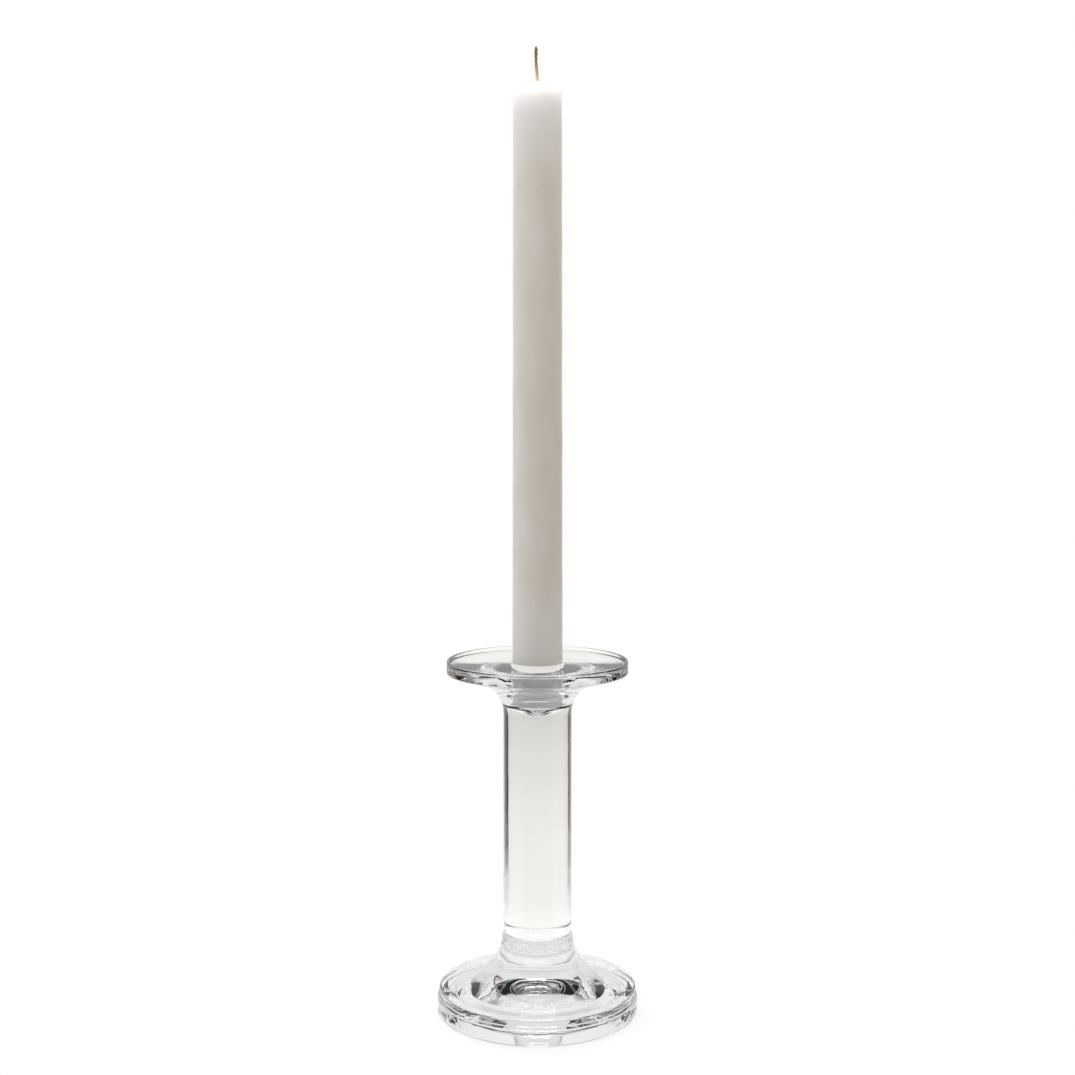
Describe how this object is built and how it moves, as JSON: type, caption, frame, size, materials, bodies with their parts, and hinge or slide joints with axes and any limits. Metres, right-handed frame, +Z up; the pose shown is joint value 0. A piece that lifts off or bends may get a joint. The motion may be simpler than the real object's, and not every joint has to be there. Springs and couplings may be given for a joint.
{
  "type": "glass candlestick",
  "caption": "Clear pressed-glass candlestick: round foot, plain column and a wide drip pan round a socket that holds a tall white dinner candle.",
  "frame": {"origin": "centre of the foot's resting ring, on the table", "axes": "+Z up the axis of the column and the candle; the part is round, so +X and +Y are free"},
  "size_m": [0.089, 0.089, 0.4209],
  "materials": {
    "clear_glass": "fire-polished clear pressed glass",
    "candle_wax": "off-white candle wax, satin and slightly translucent",
    "wick_cotton": "braided cotton, waxed, straw brown"
  },
  "bodies": {
    "candlestick": {"glass_candlestick": "clear_glass"},
    "candle": {"candle": "candle_wax", "wick": "wick_cotton"}
  },
  "joints": [
    {"name": "candle_lift", "type": "slide", "parent": "candlestick", "child": "candle", "axis": [0, 0, 1], "range_m": [0, 0.03]}
  ]
}
